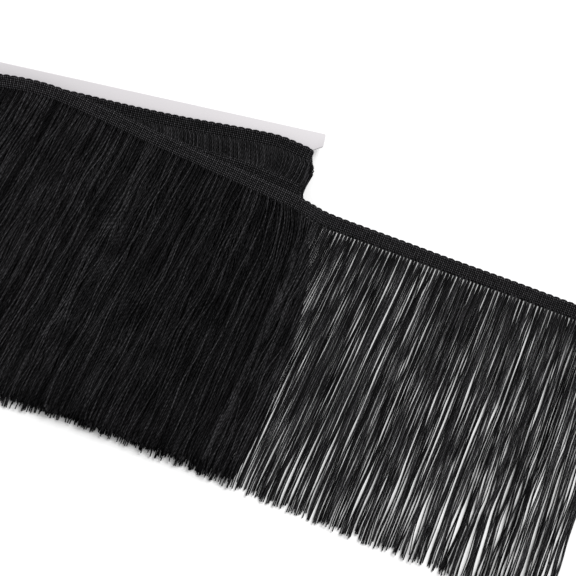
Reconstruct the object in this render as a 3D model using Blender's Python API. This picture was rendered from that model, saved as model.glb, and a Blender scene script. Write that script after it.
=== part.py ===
"""Fringe trim on a card: 20 cm cut-yarn fringe on a narrow crocheted heading, wound on a flat card.

The card lies level, its long side along X, lifted off the table by the turns at its back. The trim goes
round the card's two short ends, so its fringe hangs off the card toward -Y. The last half turn comes up
round the left end, runs slanting over the turns below it and off the right end, and lies on the table
from there to its cut end. Metres, +Z up, the table at z = 0 and the card's middle at x = 0, y = 0.
"""

import math
import random
from collections import namedtuple

import bmesh
import bpy
from mathutils import Vector

for leftover in list(bpy.context.scene.objects):
    bpy.data.objects.remove(leftover, do_unlink=True)

PALE_LILAC = (0.79, 0.77, 0.80)
YARN_BLACK = (0.013, 0.013, 0.014)

# Card
CARD_LENGTH = 0.250
CARD_HEIGHT = 0.078
CARD_THICKNESS = 0.0020
CARD_FLANGE = 0.009
NECK_LENGTH = 0.226
NECK_SHOULDER = 0.007
CARD_LIFT = 0.0050
CARD_CORNER = 0.0012
CARD_GAP = 0.0003

# Trim
HEADING_WIDTH = 0.010
HEADING_THICKNESS = 0.0018
STRAND_PITCH = 0.0025
STRAND_WIDTH = 0.0016
STRAND_HEIGHT = 0.0013
RIB_DEPTH = 0.0004
SCALLOP_DEPTH = 0.0006
SCALLOP_CELLS = 2

# Wound turns
RIM_Y = 0.0290
RIM_DIP_START = 0.100
RIM_DIP = 0.0060
TURN_COLUMNS = 96
TURN_HALF = 0.120
BAND_RAISE = 0.0009
BAND_STEP = 0.0003
LAYER_RAISE = 0.0009
SLANT_END_X = 0.1195
SLANT_SLOPE = 0.127
SLANT_DROP = 0.0020
SLAB_END_Y = -0.171
SLAB_END_SLOPE = -0.126
FOOT_INSET = 0.0020
FRINGE_ROWS = 9
LOCK_LENGTH = 0.019
LOCK_STEPS = 2
LOCK_TAPER = 0.85
LOCK_DROP = 0.72

# Last half turn and loose end
CELLS = 188
CLEARANCE = 0.0004
OVER_TURNS_X = 0.175
OVER_TURNS_KNOTS = (0.0, 0.08, 0.26, 0.50, 0.75, 1.0)
ON_TABLE_KNOTS = (0.0, 0.10, 0.50, 1.0)
SUPPORT_SAMPLES = 50
CLUMP_CELLS = (4, 10)
CLUMP_PULL = 0.14
RAGGED = 0.0025
SWEEP = 0.0030
SWEEP_LENGTH = 0.210

# Sections through the wound turns, from the rim down to the cut ends: the two sides, the height of the
# inner turns in the middle, the height of the side's widest line, and how far in the side is rounded.
Section = namedtuple("Section", "y left right top side round")
SECTIONS = (
    Section(y=0.029, left=-0.1165, right=0.1165, top=0.0090, side=0.0060, round=0.005),
    Section(y=0.024, left=-0.1180, right=0.1195, top=0.0092, side=0.0060, round=0.006),
    Section(y=0.010, left=-0.1190, right=0.1225, top=0.0092, side=0.0060, round=0.006),
    Section(y=-0.001, left=-0.1190, right=0.1195, top=0.0092, side=0.0058, round=0.006),
    Section(y=-0.011, left=-0.1190, right=0.1200, top=0.0092, side=0.0054, round=0.007),
    Section(y=-0.025, left=-0.1200, right=0.1255, top=0.0092, side=0.0042, round=0.014),
    Section(y=-0.050, left=-0.1240, right=0.1340, top=0.0088, side=0.0027, round=0.024),
    Section(y=-0.090, left=-0.1300, right=0.1365, top=0.0073, side=0.0022, round=0.028),
    Section(y=-0.130, left=-0.1360, right=0.1310, top=0.0058, side=0.0020, round=0.028),
    Section(y=-0.170, left=-0.1420, right=0.1230, top=0.0045, side=0.0018, round=0.026),
    Section(y=-0.210, left=-0.1470, right=0.1080, top=0.0032, side=0.0016, round=0.024),
)

# Route of the last half turn's heading, along the middle of its underside
Station = namedtuple("Station", "x y z")
ROUTE = (
    Station(x=-0.1198, y=0.0176, z=0.0016),
    Station(x=-0.1206, y=0.0178, z=0.0045),
    Station(x=-0.1207, y=0.0181, z=0.0076),
    Station(x=-0.1188, y=0.0188, z=0.0105),
    Station(x=-0.1125, y=0.0209, z=0.0116),
    Station(x=-0.0920, y=0.0246, z=0.0116),
    Station(x=-0.0620, y=0.0245, z=0.0116),
    Station(x=-0.0280, y=0.0183, z=0.0117),
    Station(x=0.0180, y=0.0076, z=0.0117),
    Station(x=0.0700, y=-0.0034, z=0.0117),
    Station(x=0.1080, y=-0.0116, z=0.0116),
    Station(x=0.1220, y=-0.0148, z=0.0106),
    Station(x=0.1360, y=-0.0172, z=0.0056),
    Station(x=0.1480, y=-0.0190, z=0.0014),
    Station(x=0.1580, y=-0.0204, z=0.0),
    Station(x=0.1890, y=-0.0246, z=0.0),
    Station(x=0.2270, y=-0.0299, z=0.0),
    Station(x=0.2650, y=-0.0348, z=0.0),
    Station(x=0.3050, y=-0.0404, z=0.0),
    Station(x=0.3450, y=-0.0462, z=0.0),
)

# How the fringe hangs from that heading: the lean toward -X from straight down, and the cut length
Hang = namedtuple("Hang", "x lean length")
HANGS = (
    Hang(x=-0.125, lean=19.0, length=0.196),
    Hang(x=-0.060, lean=17.0, length=0.199),
    Hang(x=0.020, lean=15.5, length=0.201),
    Hang(x=0.090, lean=13.5, length=0.194),
    Hang(x=0.135, lean=12.5, length=0.189),
    Hang(x=0.200, lean=11.0, length=0.191),
    Hang(x=0.280, lean=7.5, length=0.194),
    Hang(x=0.350, lean=4.5, length=0.195),
)


def read_smooth(rows, key, column, at):
    """One column of a table at a place between its rows, as a smooth curve through them."""
    rows = sorted(rows, key=lambda row: getattr(row, key))
    places = [getattr(row, key) for row in rows]
    values = [getattr(row, column) for row in rows]
    if at <= places[0]:
        return values[0]
    if at >= places[-1]:
        return values[-1]
    i = max(n for n, place in enumerate(places) if place <= at)
    slopes = []
    for n in (i, i + 1):
        before, after = max(n - 1, 0), min(n + 1, len(rows) - 1)
        slopes.append((values[after] - values[before]) / (places[after] - places[before]))
    span = places[i + 1] - places[i]
    t = (at - places[i]) / span
    start = values[i] * (2 * t**3 - 3 * t**2 + 1) + slopes[0] * span * (t**3 - 2 * t**2 + t)
    end = values[i + 1] * (3 * t**2 - 2 * t**3) + slopes[1] * span * (t**3 - t**2)
    return start + end


def smooth_route(stations, samples=24):
    """Close-set points along a smooth curve through the stations, each with its distance from the start."""
    points = [Vector(station) for station in stations]
    points = [2 * points[0] - points[1]] + points + [2 * points[-1] - points[-2]]
    route = []
    length = 0.0
    for a, b, c, d in zip(points, points[1:], points[2:], points[3:]):
        for n in range(samples):
            t = n / samples
            bend = (2 * a - 5 * b + 4 * c - d) * t**2 + (3 * b - a - 3 * c + d) * t**3
            place = b + ((c - a) * t + bend) / 2
            place.z = max(place.z, 0.0)
            if route:
                length += (place - route[-1][1]).length
            route.append((length, place))
    return route


def along(route, distance):
    """The point and the direction of a route at a distance from its start."""
    n = next((i for i, (length, _) in enumerate(route) if length > distance), len(route) - 1)
    (start, a), (end, b) = route[max(n - 1, 0)], route[max(n, 1)]
    direction = (b - a).normalized()
    return a + direction * (distance - start), direction


def add_object(name, bm, colour, roughness):
    """Turn the mesh into a named object with its own material."""
    bmesh.ops.recalc_face_normals(bm, faces=bm.faces)
    mesh = bpy.data.meshes.new(name)
    bm.to_mesh(mesh)
    bm.free()
    mesh.shade_smooth()
    mesh.set_sharp_from_angle(angle=math.radians(40))
    material = bpy.data.materials.new(name)
    material.use_nodes = True
    surface = material.node_tree.nodes["Principled BSDF"]
    surface.inputs["Base Color"].default_value = (*colour, 1.0)
    surface.inputs["Roughness"].default_value = roughness
    surface.inputs["Metallic"].default_value = 0.0
    mesh.materials.append(material)
    item = bpy.data.objects.new(name, mesh)
    bpy.context.scene.collection.objects.link(item)
    return item


def card_plate(grow, low, high):
    """The card's outline, grown outward by a margin, as a flat plate between two heights."""
    top = CARD_HEIGHT / 2 + grow
    flange_x, neck_x = CARD_LENGTH / 2 + grow, NECK_LENGTH / 2 + grow
    under_flange = CARD_HEIGHT / 2 - CARD_FLANGE - grow
    under_shoulder = under_flange - NECK_SHOULDER
    side = (
        (flange_x, top),
        (flange_x, under_flange),
        (neck_x, under_shoulder),
        (neck_x, -CARD_HEIGHT / 2 - grow),
    )
    outline = [(-x, y) for x, y in side] + [(x, y) for x, y in reversed(side)]
    bm = bmesh.new()
    face = bm.faces.new([bm.verts.new((x, y, low)) for x, y in outline])
    raised = bmesh.ops.extrude_face_region(bm, geom=[face])["geom"]
    upper = [item for item in raised if isinstance(item, bmesh.types.BMVert)]
    bmesh.ops.translate(bm, vec=(0, 0, high - low), verts=upper)
    return bm


def card():
    """A plain pale board with a flange along its upper edge and a narrower neck that takes the turns."""
    bm = card_plate(0.0, CARD_LIFT, CARD_LIFT + CARD_THICKNESS)
    outer_x, lower_y = CARD_LENGTH / 2 - CARD_CORNER, -CARD_HEIGHT / 2 + CARD_CORNER
    upright = [e for e in bm.edges if abs(e.verts[0].co.z - e.verts[1].co.z) > CARD_THICKNESS / 2]
    corners = [e for e in upright if abs(e.verts[0].co.x) > outer_x or e.verts[0].co.y < lower_y]
    bmesh.ops.bevel(
        bm, geom=corners, offset=CARD_CORNER, segments=3, profile=0.5, affect="EDGES", material=-1
    )
    return add_object("card", bm, PALE_LILAC, 0.6)


def card_pocket():
    """The space that the card takes inside the turns."""
    bm = card_plate(CARD_GAP, CARD_LIFT - CARD_GAP, CARD_LIFT + CARD_THICKNESS + CARD_GAP)
    cutter = add_object("card_pocket", bm, PALE_LILAC, 0.6)
    cutter.hide_render = True
    cutter.display_type = "WIRE"
    return cutter


def rim_y(x):
    """Upper edge of the turns: level along the card, curling down where they go round its ends."""
    past = max(abs(x) - RIM_DIP_START, 0.0) / (TURN_HALF - RIM_DIP_START)
    return RIM_Y - RIM_DIP * past**2


def slant_y(x):
    """Upper edge of the slanting turn that lies over the level one."""
    return min(SLANT_SLOPE * (SLANT_END_X - x), rim_y(x) - HEADING_WIDTH - SLANT_DROP)


def slab_end_y(x):
    """Where the matted part of the hanging fringe ends and its separate locks begin."""
    return SLAB_END_Y + SLAB_END_SLOPE * x


def turns_height(x, y):
    """Height of the wound turns' upper side, ribs at their crests, or 0 off the turns."""
    left, right, top, side, rounding = (
        read_smooth(SECTIONS, "y", column, y) for column in ("left", "right", "top", "side", "round")
    )
    inside = min(x - left, right - x)
    if inside < 0 or y > rim_y(x) or y < slab_end_y(x) - LOCK_LENGTH:
        return 0.0
    near = 1 - min(inside / rounding, 1.0)
    height = side + (top - side) * math.sqrt(1 - near**2)
    if y >= rim_y(x) - HEADING_WIDTH:
        height += BAND_RAISE
    if y <= slant_y(x):
        height += LAYER_RAISE
        if y >= slant_y(x) - HEADING_WIDTH:
            height += BAND_RAISE
    return height


def turn_rows(x):
    """Places down the turns' upper side at one x: both headings' edges, then the fringe."""
    level, slant, end = rim_y(x), slant_y(x), slab_end_y(x)
    lower_edge = (HEADING_WIDTH / 2, HEADING_WIDTH - BAND_STEP, HEADING_WIDTH + BAND_STEP)
    rows = [level] + [level - drop for drop in lower_edge]
    rows += [slant + BAND_STEP, slant - BAND_STEP] + [slant - drop for drop in lower_edge]
    start = rows[-1]
    rows += [start + (end - start) * n / FRINGE_ROWS for n in range(1, FRINGE_ROWS + 1)]
    return rows


def wound_trim():
    """The wound turns as one body: ribbed headings, fringe matted in ridges, locks at the cut ends."""
    bm = bmesh.new()
    rows = len(turn_rows(0.0))
    bmesh.ops.create_grid(bm, x_segments=TURN_COLUMNS, y_segments=rows - 1, size=1.0)
    for vert in bm.verts:
        column = round((vert.co.x + 1) / 2 * TURN_COLUMNS)
        row = round((1 - vert.co.y) / 2 * (rows - 1))
        across = column / TURN_COLUMNS
        nominal = TURN_HALF * (2 * across - 1)
        y = turn_rows(nominal)[row]
        left, right = (read_smooth(SECTIONS, "y", side, y) for side in ("left", "right"))
        x = min(max(left + (right - left) * across, left), right)
        height = turns_height(x, min(y, rim_y(x)))
        if column % 2:
            height -= RIB_DEPTH
            y -= SCALLOP_DEPTH if row == 0 else 0.0
        vert.co = (x, y, height)

    walls = bmesh.ops.extrude_edge_only(bm, edges=[e for e in bm.edges if e.is_boundary])["geom"]
    foot = [item for item in walls if isinstance(item, bmesh.types.BMVert)]
    for vert in foot:
        left, right = (read_smooth(SECTIONS, "y", side, vert.co.y) for side in ("left", "right"))
        if min(vert.co.x - left, right - vert.co.x) < FOOT_INSET:
            vert.co.x -= math.copysign(FOOT_INSET, vert.co.x)
        vert.co.z = 0.0
    bmesh.ops.holes_fill(bm, edges=[e for e in bm.edges if e.is_boundary], sides=0)
    bmesh.ops.recalc_face_normals(bm, faces=bm.faces)
    locks(bm)

    turns = add_object("wound_trim", bm, YARN_BLACK, 0.55)
    cut = turns.modifiers.new("card_pocket", "BOOLEAN")
    cut.operation = "DIFFERENCE"
    cut.solver = "EXACT"
    cut.object = card_pocket()
    return turns


def locks(bm):
    """Separate locks of cut yarn along the lower edge of the turns, each drawn from a face of its wall."""
    rng = random.Random(4)
    walls = [face for face in bm.faces if abs(face.normal.z) < 0.3 and face.normal.y < -0.8]
    ends = [face for face in walls if face.calc_center_median().y < -CARD_HEIGHT]
    ends.sort(key=lambda face: face.calc_center_median().x)
    for face in ends[1:-1:2]:
        length = LOCK_LENGTH * rng.uniform(0.8, 1.0)
        lean = math.radians(rng.uniform(6, 14))
        for step in range(LOCK_STEPS):
            face = bmesh.ops.extrude_discrete_faces(bm, faces=[face])["faces"][0]
            middle = face.calc_center_median()
            for vert in face.verts:
                vert.co.x = middle.x + (vert.co.x - middle.x) * LOCK_TAPER
                vert.co.x -= math.sin(lean) * length / LOCK_STEPS
                vert.co.y -= math.cos(lean) * length / LOCK_STEPS
                vert.co.z *= LOCK_DROP


def heading_frame(route, distance):
    """Middle of the heading's underside there, and its directions along, across and outward."""
    place, forward = along(route, distance)
    across = (Vector((0, 1, 0)) - forward * forward.y).normalized()
    return place, forward, across, forward.cross(across)


def draped_heights(needs, knots):
    """Heights at the knots of a thread drawn over evenly spaced supports of the heights it needs."""
    last = len(needs) - 1
    hull = []
    for at, need in enumerate(needs):
        while len(hull) > 1:
            (a, low), (b, high) = hull[-2:]
            if (need - low) * (b - a) < (high - low) * (at - a):
                break
            hull.pop()
        hull.append((at, need))
    heights = []
    for knot in knots:
        (a, low), (b, high) = next(pair for pair in zip(hull, hull[1:]) if knot * last <= pair[1][0])
        heights.append(low + (high - low) * (knot * last - a) / (b - a))
    for n in range(1, len(knots)):
        for at in range(math.ceil(knots[n - 1] * last), math.floor(knots[n] * last) + 1):
            t = (at / last - knots[n - 1]) / (knots[n] - knots[n - 1])
            short = needs[at] - heights[n - 1] * (1 - t) - heights[n] * t
            if short > 0 and t > 0:
                heights[n] += short if n > 1 else short / t
                heights[n - 1] += short if n > 1 else 0.0
    return heights


def clump_places(rng):
    """For each strand, how many cells it stands from the middle of its own clump."""
    places = []
    while len(places) < CELLS:
        size = rng.randint(*CLUMP_CELLS)
        places += [n - (size - 1) / 2 for n in range(size)]
    return places


def strand_path(root, in_clump, rng):
    """Points along one strand's underside, laid on whatever is below it, and the direction across it."""
    lean = math.radians(read_smooth(HANGS, "x", "lean", root.x))
    length = read_smooth(HANGS, "x", "length", root.x) + rng.uniform(-RAGGED, RAGGED)
    down = Vector((-math.sin(lean), -math.cos(lean), 0))
    side = Vector((math.cos(lean), -math.sin(lean), 0))

    def place(t):
        drawn = -CLUMP_PULL * STRAND_PITCH * in_clump * math.sin(t * math.pi / 2)
        swept = SWEEP * math.sin(t * math.pi) * math.sin(2 * math.pi * root.x / SWEEP_LENGTH)
        return root + down * length * t + side * (drawn + swept)

    needs = [root.z]
    reach = STRAND_WIDTH / 2 + CLEARANCE
    for n in range(1, SUPPORT_SAMPLES + 1):
        over = place(n / SUPPORT_SAMPLES)
        below = max(turns_height(over.x + dx, over.y) for dx in (-reach, 0, reach))
        needs.append(below + CLEARANCE if below else 0.0)
    knots = OVER_TURNS_KNOTS if root.x < OVER_TURNS_X else ON_TABLE_KNOTS
    points = [place(knot) for knot in knots]
    for point, height in zip(points, draped_heights(needs, knots)):
        point.z = height
    return points[1:], side


def loose_end():
    """The last half turn and the loose end: a ribbed, scalloped heading, its fringe drawn from its edge."""
    route = smooth_route(ROUTE)
    rng = random.Random(11)
    clumps = clump_places(rng)
    bm = bmesh.new()
    half = HEADING_WIDTH / 2

    def profile(distance, cell, crest):
        place, _, across, outward = heading_frame(route, distance)
        thick = HEADING_THICKNESS - (0.0 if crest else RIB_DEPTH)
        edge = half - (SCALLOP_DEPTH if cell % SCALLOP_CELLS else 0.0)
        corners = ((edge, 0.0), (edge, thick), (-half, thick), (-half, 0.0))
        return [place + across * a + outward * o for a, o in corners]

    lines = []
    for cell in range(CELLS):
        middle = (cell + 0.5) * STRAND_PITCH
        for offset, crest in ((-STRAND_WIDTH / 2, False), (STRAND_WIDTH / 2, True)):
            lines.append(profile(middle + offset, cell, crest))

    ring = [bm.verts.new(co) for co in lines[0]]
    edges = [bm.edges.new((ring[n], ring[(n + 1) % 4])) for n in range(4)]
    bm.faces.new(ring)
    roots = []
    for number, corners in enumerate(lines[1:]):
        grown = bmesh.ops.extrude_edge_only(bm, edges=edges)["geom"]
        verts = [item for item in grown if isinstance(item, bmesh.types.BMVert)]
        walls = [item for item in grown if isinstance(item, bmesh.types.BMFace)]
        edges = [item for item in grown if isinstance(item, bmesh.types.BMEdge) and item.is_boundary]
        before = lines[number]
        for vert in verts:
            nearest = min(range(4), key=lambda n: (before[n] - vert.co).length)
            vert.co = corners[nearest]
        if number % 2 == 0:
            outer = sum((c for c in before[2:]), Vector()) / 2
            roots.append(min(walls, key=lambda f: (f.calc_center_median() - outer).length))
    bmesh.ops.holes_fill(bm, edges=edges, sides=0)

    for cell, face in enumerate(roots):
        place, forward, across, outward = heading_frame(route, (cell + 0.5) * STRAND_PITCH)
        root = place - across * half
        points, side = strand_path(root, clumps[cell], rng)
        for n, point in enumerate(points):
            slim = 1.0 if n < len(points) - 1 else 0.7
            face = bmesh.ops.extrude_discrete_faces(bm, faces=[face])["faces"][0]
            for vert in face.verts:
                offset = vert.co - root
                ahead = offset.dot(forward if n == 0 else side)
                above = offset.dot(outward if n == 0 else Vector((0, 0, 1)))
                height = STRAND_HEIGHT * slim if above > STRAND_HEIGHT / 4 else 0.0
                vert.co = point + side * math.copysign(STRAND_WIDTH / 2 * slim, ahead)
                vert.co.z += height
            root = point
    return add_object("loose_end", bm, YARN_BLACK, 0.5)


card()
wound_trim()
loose_end()
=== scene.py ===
import math
import random
from collections import namedtuple

import bmesh
import bpy
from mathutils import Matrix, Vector, noise


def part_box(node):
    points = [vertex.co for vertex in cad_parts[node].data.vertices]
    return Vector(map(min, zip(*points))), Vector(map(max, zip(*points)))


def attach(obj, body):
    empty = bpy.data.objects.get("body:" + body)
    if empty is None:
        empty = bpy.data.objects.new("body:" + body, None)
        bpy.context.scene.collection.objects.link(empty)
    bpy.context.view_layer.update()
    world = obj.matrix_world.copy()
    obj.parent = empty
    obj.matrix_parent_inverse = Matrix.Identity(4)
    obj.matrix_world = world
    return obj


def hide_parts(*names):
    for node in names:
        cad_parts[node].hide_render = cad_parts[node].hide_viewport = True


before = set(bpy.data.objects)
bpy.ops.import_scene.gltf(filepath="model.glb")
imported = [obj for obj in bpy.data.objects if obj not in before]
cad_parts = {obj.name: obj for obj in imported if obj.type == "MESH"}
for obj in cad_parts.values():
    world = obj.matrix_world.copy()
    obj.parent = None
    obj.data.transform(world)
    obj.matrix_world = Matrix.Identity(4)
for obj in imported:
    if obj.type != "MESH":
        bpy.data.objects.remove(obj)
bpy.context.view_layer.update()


# ----------------------------------------------------------------------------------------------------
# Card. A die-cut board that the trim is wound on, with a flange along its upper edge and a narrower
# neck for the turns. Grey board faced with pale lilac paper, its cut edges a little crushed.

FLANGE_HEIGHT = 0.009
SHOULDER_DROP = 0.007
NECK_LENGTH = 0.226
CARD_CORNER = 0.0012
EDGE_CRUSH = 0.0003
SHARP_ANGLE = math.radians(50)
CARD_LENGTH = 0.250
# Painted light: the card's colour at its left end is paler than at its right, to offset the shade the trim
# throws on that end
CARD_LEFT_PAINTED_LIGHT = (0.577, 0.555, 0.570, 1.0)
CARD_RIGHT = (0.481, 0.464, 0.477, 1.0)
CARD_EDGE = (0.50, 0.49, 0.505, 1.0)
CARD_ROUGHNESS = 0.62
CLOUD_SHARE = 0.2
PAPER_FIBRE_SHARE = 0.12
PAPER_FIBRE_STRETCH = (420.0, 1500.0, 900.0)
EDGE_WEAR = 0.7
EDGE_WEAR_RADIUS = 0.0006


def add_node(tree, kind, options=None, inputs=None):
    """Add a node; each input named is given a value, or joined to another node's output."""
    item = tree.nodes.new(kind)
    for name, value in (options or {}).items():
        setattr(item, name, value)
    for name, value in (inputs or {}).items():
        if isinstance(value, bpy.types.NodeSocket):
            tree.links.new(value, item.inputs[name])
        else:
            item.inputs[name].default_value = value
    return item


def arithmetic(tree, operation, first, second=0.0, third=0.0):
    """One sum on values of the surface."""
    values = {0: first, 1: second, 2: third}
    return add_node(tree, "ShaderNodeMath", {"operation": operation}, values).outputs[0]


def blend_colours(tree, amount, first, second):
    """A colour between two others."""
    mix = add_node(tree, "ShaderNodeMix", {"data_type": "RGBA"})
    colours = [socket for socket in mix.inputs if socket.type == "RGBA"]
    for socket, value in ((mix.inputs[0], amount), (colours[0], first), (colours[1], second)):
        if isinstance(value, bpy.types.NodeSocket):
            tree.links.new(value, socket)
        else:
            socket.default_value = value
    return next(socket for socket in mix.outputs if socket.type == "RGBA")


def soft_pattern(tree, place, scale=1.0, detail=2.0, stretch=None):
    """A soft random pattern from 0 to 1, which may be finer one way than another."""
    if stretch:
        place = add_node(tree, "ShaderNodeMapping", None, {"Vector": place, "Scale": stretch}).outputs[0]
    values = {"Vector": place, "Scale": scale, "Detail": detail}
    return add_node(tree, "ShaderNodeTexNoise", None, values).outputs["Fac"]


def new_material(name, roughness):
    """A material with its surface shader, and the node tree to paint it in."""
    material = bpy.data.materials.new(name)
    material.use_nodes = True
    surface = material.node_tree.nodes["Principled BSDF"]
    surface.inputs["Roughness"].default_value = roughness
    return material, material.node_tree, surface


def raise_relief(tree, surface, height, strength, distance):
    """Fine relief that a mesh is too coarse to carry."""
    values = {"Height": height, "Strength": strength, "Distance": distance}
    relief = add_node(tree, "ShaderNodeBump", None, values)
    tree.links.new(relief.outputs[0], surface.inputs["Normal"])


def card_paper():
    """Smooth uncoated paper with clouds of tint, fibres, and worn grey edges; it is a shade greyer to the
    right because its left end is painted paler, as painted light against the shade the trim throws there.
    """
    material, tree, surface = new_material("lilac_board", CARD_ROUGHNESS)
    place = add_node(tree, "ShaderNodeTexCoord").outputs["Object"]
    clouds = soft_pattern(tree, place, scale=22.0, detail=3.0)
    fibres = soft_pattern(tree, place, detail=4.0, stretch=PAPER_FIBRE_STRETCH)
    rounded = add_node(tree, "ShaderNodeBevel", {"samples": 4}, {"Radius": EDGE_WEAR_RADIUS})
    straight = add_node(tree, "ShaderNodeNewGeometry").outputs["Normal"]
    turn = add_node(
        tree, "ShaderNodeVectorMath", {"operation": "DOT_PRODUCT"}, {0: rounded.outputs[0], 1: straight}
    )
    worn = add_node(
        tree,
        "ShaderNodeMapRange",
        None,
        {"Value": turn.outputs["Value"], "From Min": 0.995, "From Max": 0.86, "To Max": EDGE_WEAR},
    )
    # Painted light: a ramp along the card from the paler left colour to the right one, with clouds of tint
    # on it
    along = add_node(tree, "ShaderNodeSeparateXYZ", None, {0: place}).outputs["X"]
    ramp_share = 1 - CLOUD_SHARE
    painted_light_ramp = arithmetic(tree, "MULTIPLY_ADD", along, ramp_share / CARD_LENGTH, ramp_share / 2)
    cloudy = arithmetic(tree, "MULTIPLY", clouds, CLOUD_SHARE)
    face = blend_colours(tree, arithmetic(tree, "ADD", painted_light_ramp, cloudy), CARD_LEFT_PAINTED_LIGHT, CARD_RIGHT)
    flecks = arithmetic(tree, "MULTIPLY", fibres, PAPER_FIBRE_SHARE)
    flecked = blend_colours(tree, flecks, face, CARD_EDGE)
    painted = blend_colours(tree, worn.outputs["Result"], flecked, CARD_EDGE)
    tree.links.new(painted, surface.inputs["Base Color"])
    raise_relief(tree, surface, fibres, strength=0.15, distance=0.0001)
    return material


def finish_piece(name, bm, material, node):
    """Make a mesh a piece of the part: it rides with it, stands for its solid and takes its finish."""
    mesh = bpy.data.meshes.new(name)
    bm.to_mesh(mesh)
    bm.free()
    mesh.shade_smooth()
    mesh.set_sharp_from_angle(angle=SHARP_ANGLE)
    mesh.materials.append(material)
    piece = bpy.data.objects.new(name, mesh)
    bpy.context.scene.collection.objects.link(piece)
    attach(piece, "root")
    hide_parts(node)
    return piece


def soften_edges(bm, edges, offset, segments):
    """Round a mesh's edges."""
    bmesh.ops.bevel(
        bm, geom=edges, offset=offset, segments=segments, profile=0.5, affect="EDGES", material=-1
    )


def card_board():
    """The card's outline, drawn to its thickness, its corners rounded and its rims crushed."""
    low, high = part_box("card")
    under_flange = high.y - FLANGE_HEIGHT
    neck = NECK_LENGTH / 2
    side = ((high.x, high.y), (high.x, under_flange), (neck, under_flange - SHOULDER_DROP), (neck, low.y))
    outline = [(-x, y) for x, y in side] + [(x, y) for x, y in reversed(side)]
    bm = bmesh.new()
    face = bm.faces.new([bm.verts.new((x, y, low.z)) for x, y in outline])
    raised = bmesh.ops.extrude_face_region(bm, geom=[face])["geom"]
    upper = [item for item in raised if isinstance(item, bmesh.types.BMVert)]
    bmesh.ops.translate(bm, vec=(0, 0, high.z - low.z), verts=upper)
    bmesh.ops.recalc_face_normals(bm, faces=bm.faces)
    upright = [e for e in bm.edges if abs(e.verts[0].co.z - e.verts[1].co.z) > EDGE_CRUSH]
    outer = [
        e
        for e in upright
        if abs(e.verts[0].co.x) > high.x - EDGE_CRUSH or e.verts[0].co.y < low.y + EDGE_CRUSH
    ]
    soften_edges(bm, outer, CARD_CORNER, segments=4)
    rims = [e for e in bm.edges if abs(e.verts[0].co.z - e.verts[1].co.z) < EDGE_CRUSH]
    soften_edges(bm, rims, EDGE_CRUSH, segments=2)
    finish_piece("card_board", bm, card_paper(), "card")


card_board()


# ----------------------------------------------------------------------------------------------------
# Wound headings. The narrow band of crocheted black yarn that holds the fringe, with ribs across it and a
# scalloped upper edge. The first turn starts flat on the card; each turn runs along the front, round the
# right end, back along the underside and up round the left end, and the next turn lies over it.

# The wound form is what the turns on the card come to, from their upper edge down to the cut ends: each
# section has the two sides at that place, the height of the inner turns, that of the side, and its rounding
Section = namedtuple("Section", "y left right top side round")
SECTIONS = (
    Section(y=0.029, left=-0.1165, right=0.1165, top=0.0090, side=0.0060, round=0.005),
    Section(y=0.024, left=-0.1180, right=0.1195, top=0.0092, side=0.0060, round=0.006),
    Section(y=0.0125, left=-0.1190, right=0.1232, top=0.0092, side=0.0060, round=0.006),
    Section(y=-0.001, left=-0.1190, right=0.1190, top=0.0092, side=0.0058, round=0.006),
    Section(y=-0.011, left=-0.1190, right=0.1190, top=0.0092, side=0.0054, round=0.007),
    Section(y=-0.025, left=-0.1200, right=0.1255, top=0.0092, side=0.0042, round=0.014),
    Section(y=-0.050, left=-0.1240, right=0.1340, top=0.0088, side=0.0027, round=0.024),
    Section(y=-0.090, left=-0.1300, right=0.1365, top=0.0073, side=0.0022, round=0.028),
    Section(y=-0.130, left=-0.1360, right=0.1325, top=0.0058, side=0.0020, round=0.028),
    Section(y=-0.170, left=-0.1420, right=0.1272, top=0.0045, side=0.0018, round=0.026),
    Section(y=-0.210, left=-0.1470, right=0.1160, top=0.0032, side=0.0016, round=0.024),
)
# Upper edges of the turns along the card: the level turn's, and the slanting turn's that lies over it
Edge = namedtuple("Edge", "x level slant")
EDGES = (
    Edge(x=-0.1200, level=0.0230, slant=0.0110),
    Edge(x=-0.1000, level=0.0285, slant=0.0165),
    Edge(x=-0.0400, level=0.0290, slant=0.0158),
    Edge(x=-0.0080, level=0.0284, slant=0.0152),
    Edge(x=0.0290, level=0.0287, slant=0.0115),
    Edge(x=0.0480, level=0.0294, slant=0.0092),
    Edge(x=0.0680, level=0.0303, slant=0.0081),
    Edge(x=0.0900, level=0.0306, slant=0.0052),
    Edge(x=0.1060, level=0.0296, slant=0.0020),
    Edge(x=0.1150, level=0.0269, slant=0.0003),
    Edge(x=0.1200, level=0.0248, slant=0.0000),
)
SAMPLE_STEP = 0.001
SECTION_SAMPLES = (-212, 30)
EDGE_SAMPLES = (-121, 121)


def read_smooth(rows, key, column, at):
    """One column of a table at a place between its rows, as a smooth curve through them."""
    rows = sorted(rows, key=lambda row: getattr(row, key))
    places = [getattr(row, key) for row in rows]
    values = [getattr(row, column) for row in rows]
    if at <= places[0]:
        return values[0]
    if at >= places[-1]:
        return values[-1]
    i = max(n for n, place in enumerate(places) if place <= at)
    slopes = []
    for n in (i, i + 1):
        before, after = max(n - 1, 0), min(n + 1, len(rows) - 1)
        slopes.append((values[after] - values[before]) / (places[after] - places[before]))
    span = places[i + 1] - places[i]
    t = (at - places[i]) / span
    start = values[i] * (2 * t**3 - 3 * t**2 + 1) + slopes[0] * span * (t**3 - 2 * t**2 + t)
    end = values[i + 1] * (3 * t**2 - 2 * t**3) + slopes[1] * span * (t**3 - t**2)
    return start + end


# Both tables read once, at every millimetre
SAMPLES = {
    table: {
        n: table(*(read_smooth(rows, key, column, n * SAMPLE_STEP) for column in table._fields))
        for n in range(first, last + 1)
    }
    for table, rows, key, (first, last) in (
        (Section, SECTIONS, "y", SECTION_SAMPLES),
        (Edge, EDGES, "x", EDGE_SAMPLES),
    )
}


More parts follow.
